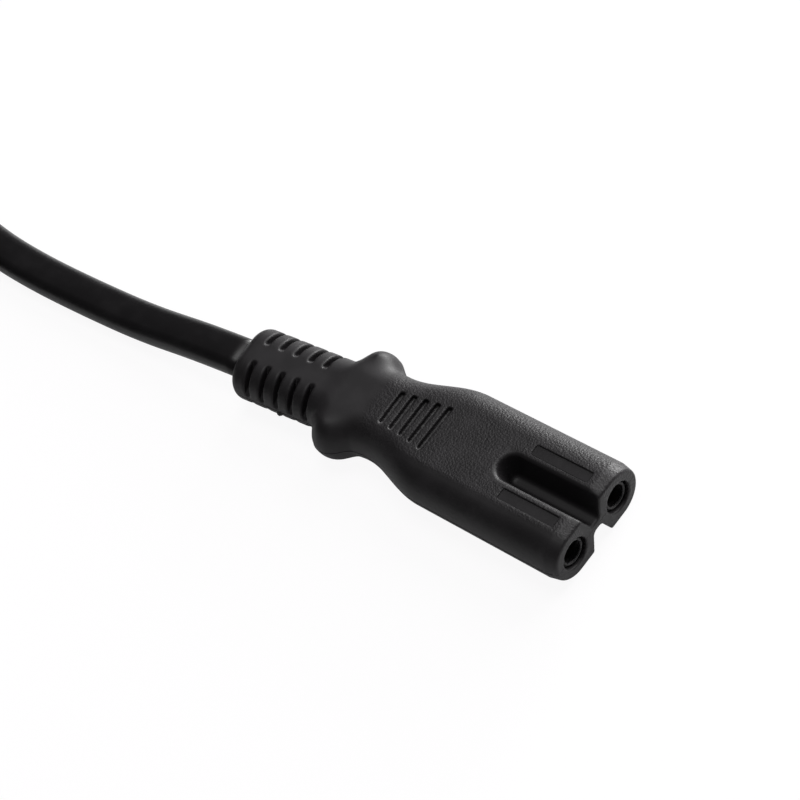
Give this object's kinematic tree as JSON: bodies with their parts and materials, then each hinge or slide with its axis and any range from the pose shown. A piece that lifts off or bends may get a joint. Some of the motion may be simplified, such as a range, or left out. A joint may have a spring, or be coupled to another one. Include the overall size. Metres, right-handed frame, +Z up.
{
  "type": "power cord",
  "caption": "Mains cord with a moulded figure-eight appliance connector, slotted strain relief, flat twin cord and a flat pin plug; spare cord tied in a hank.",
  "frame": {"origin": "middle of the connector's length and width, on its flat underside", "axes": "+X the way the connector is pushed in, +Y to its left, +Z up from the surface that it lies on"},
  "size_m": [0.2674, 0.0502, 0.0259],
  "materials": {
    "moulding": "matt soft PVC with a fine leather grain",
    "sheath": "satin soft PVC",
    "carrier": "satin hard plastic",
    "contact": "bright",
    "pin": "bright nickel",
    "copper": "bare copper strands",
    "core_brown": "satin PVC",
    "core_blue": "satin PVC",
    "tie": "satin"
  },
  "bodies": {
    "root": {"conductor_left": "copper", "conductor_right": "copper", "connector_body": "moulding", "contact_carrier": "carrier", "contact_left": "contact", "contact_right": "contact", "cord": "sheath", "cord_hank": "sheath", "cord_tail": "sheath", "core_left": "core_brown", "core_right": "core_blue", "hank_tie": "tie", "pin_sleeve_left": "carrier", "pin_sleeve_right": "carrier", "plug_body": "moulding", "plug_bridge": "carrier", "plug_conductor_left": "copper", "plug_conductor_right": "copper", "plug_core_left": "core_brown", "plug_core_right": "core_blue", "plug_pin_left": "pin", "plug_pin_right": "pin", "sheath_in_boot": "sheath", "sheath_in_plug": "sheath"}
  },
  "joints": []
}
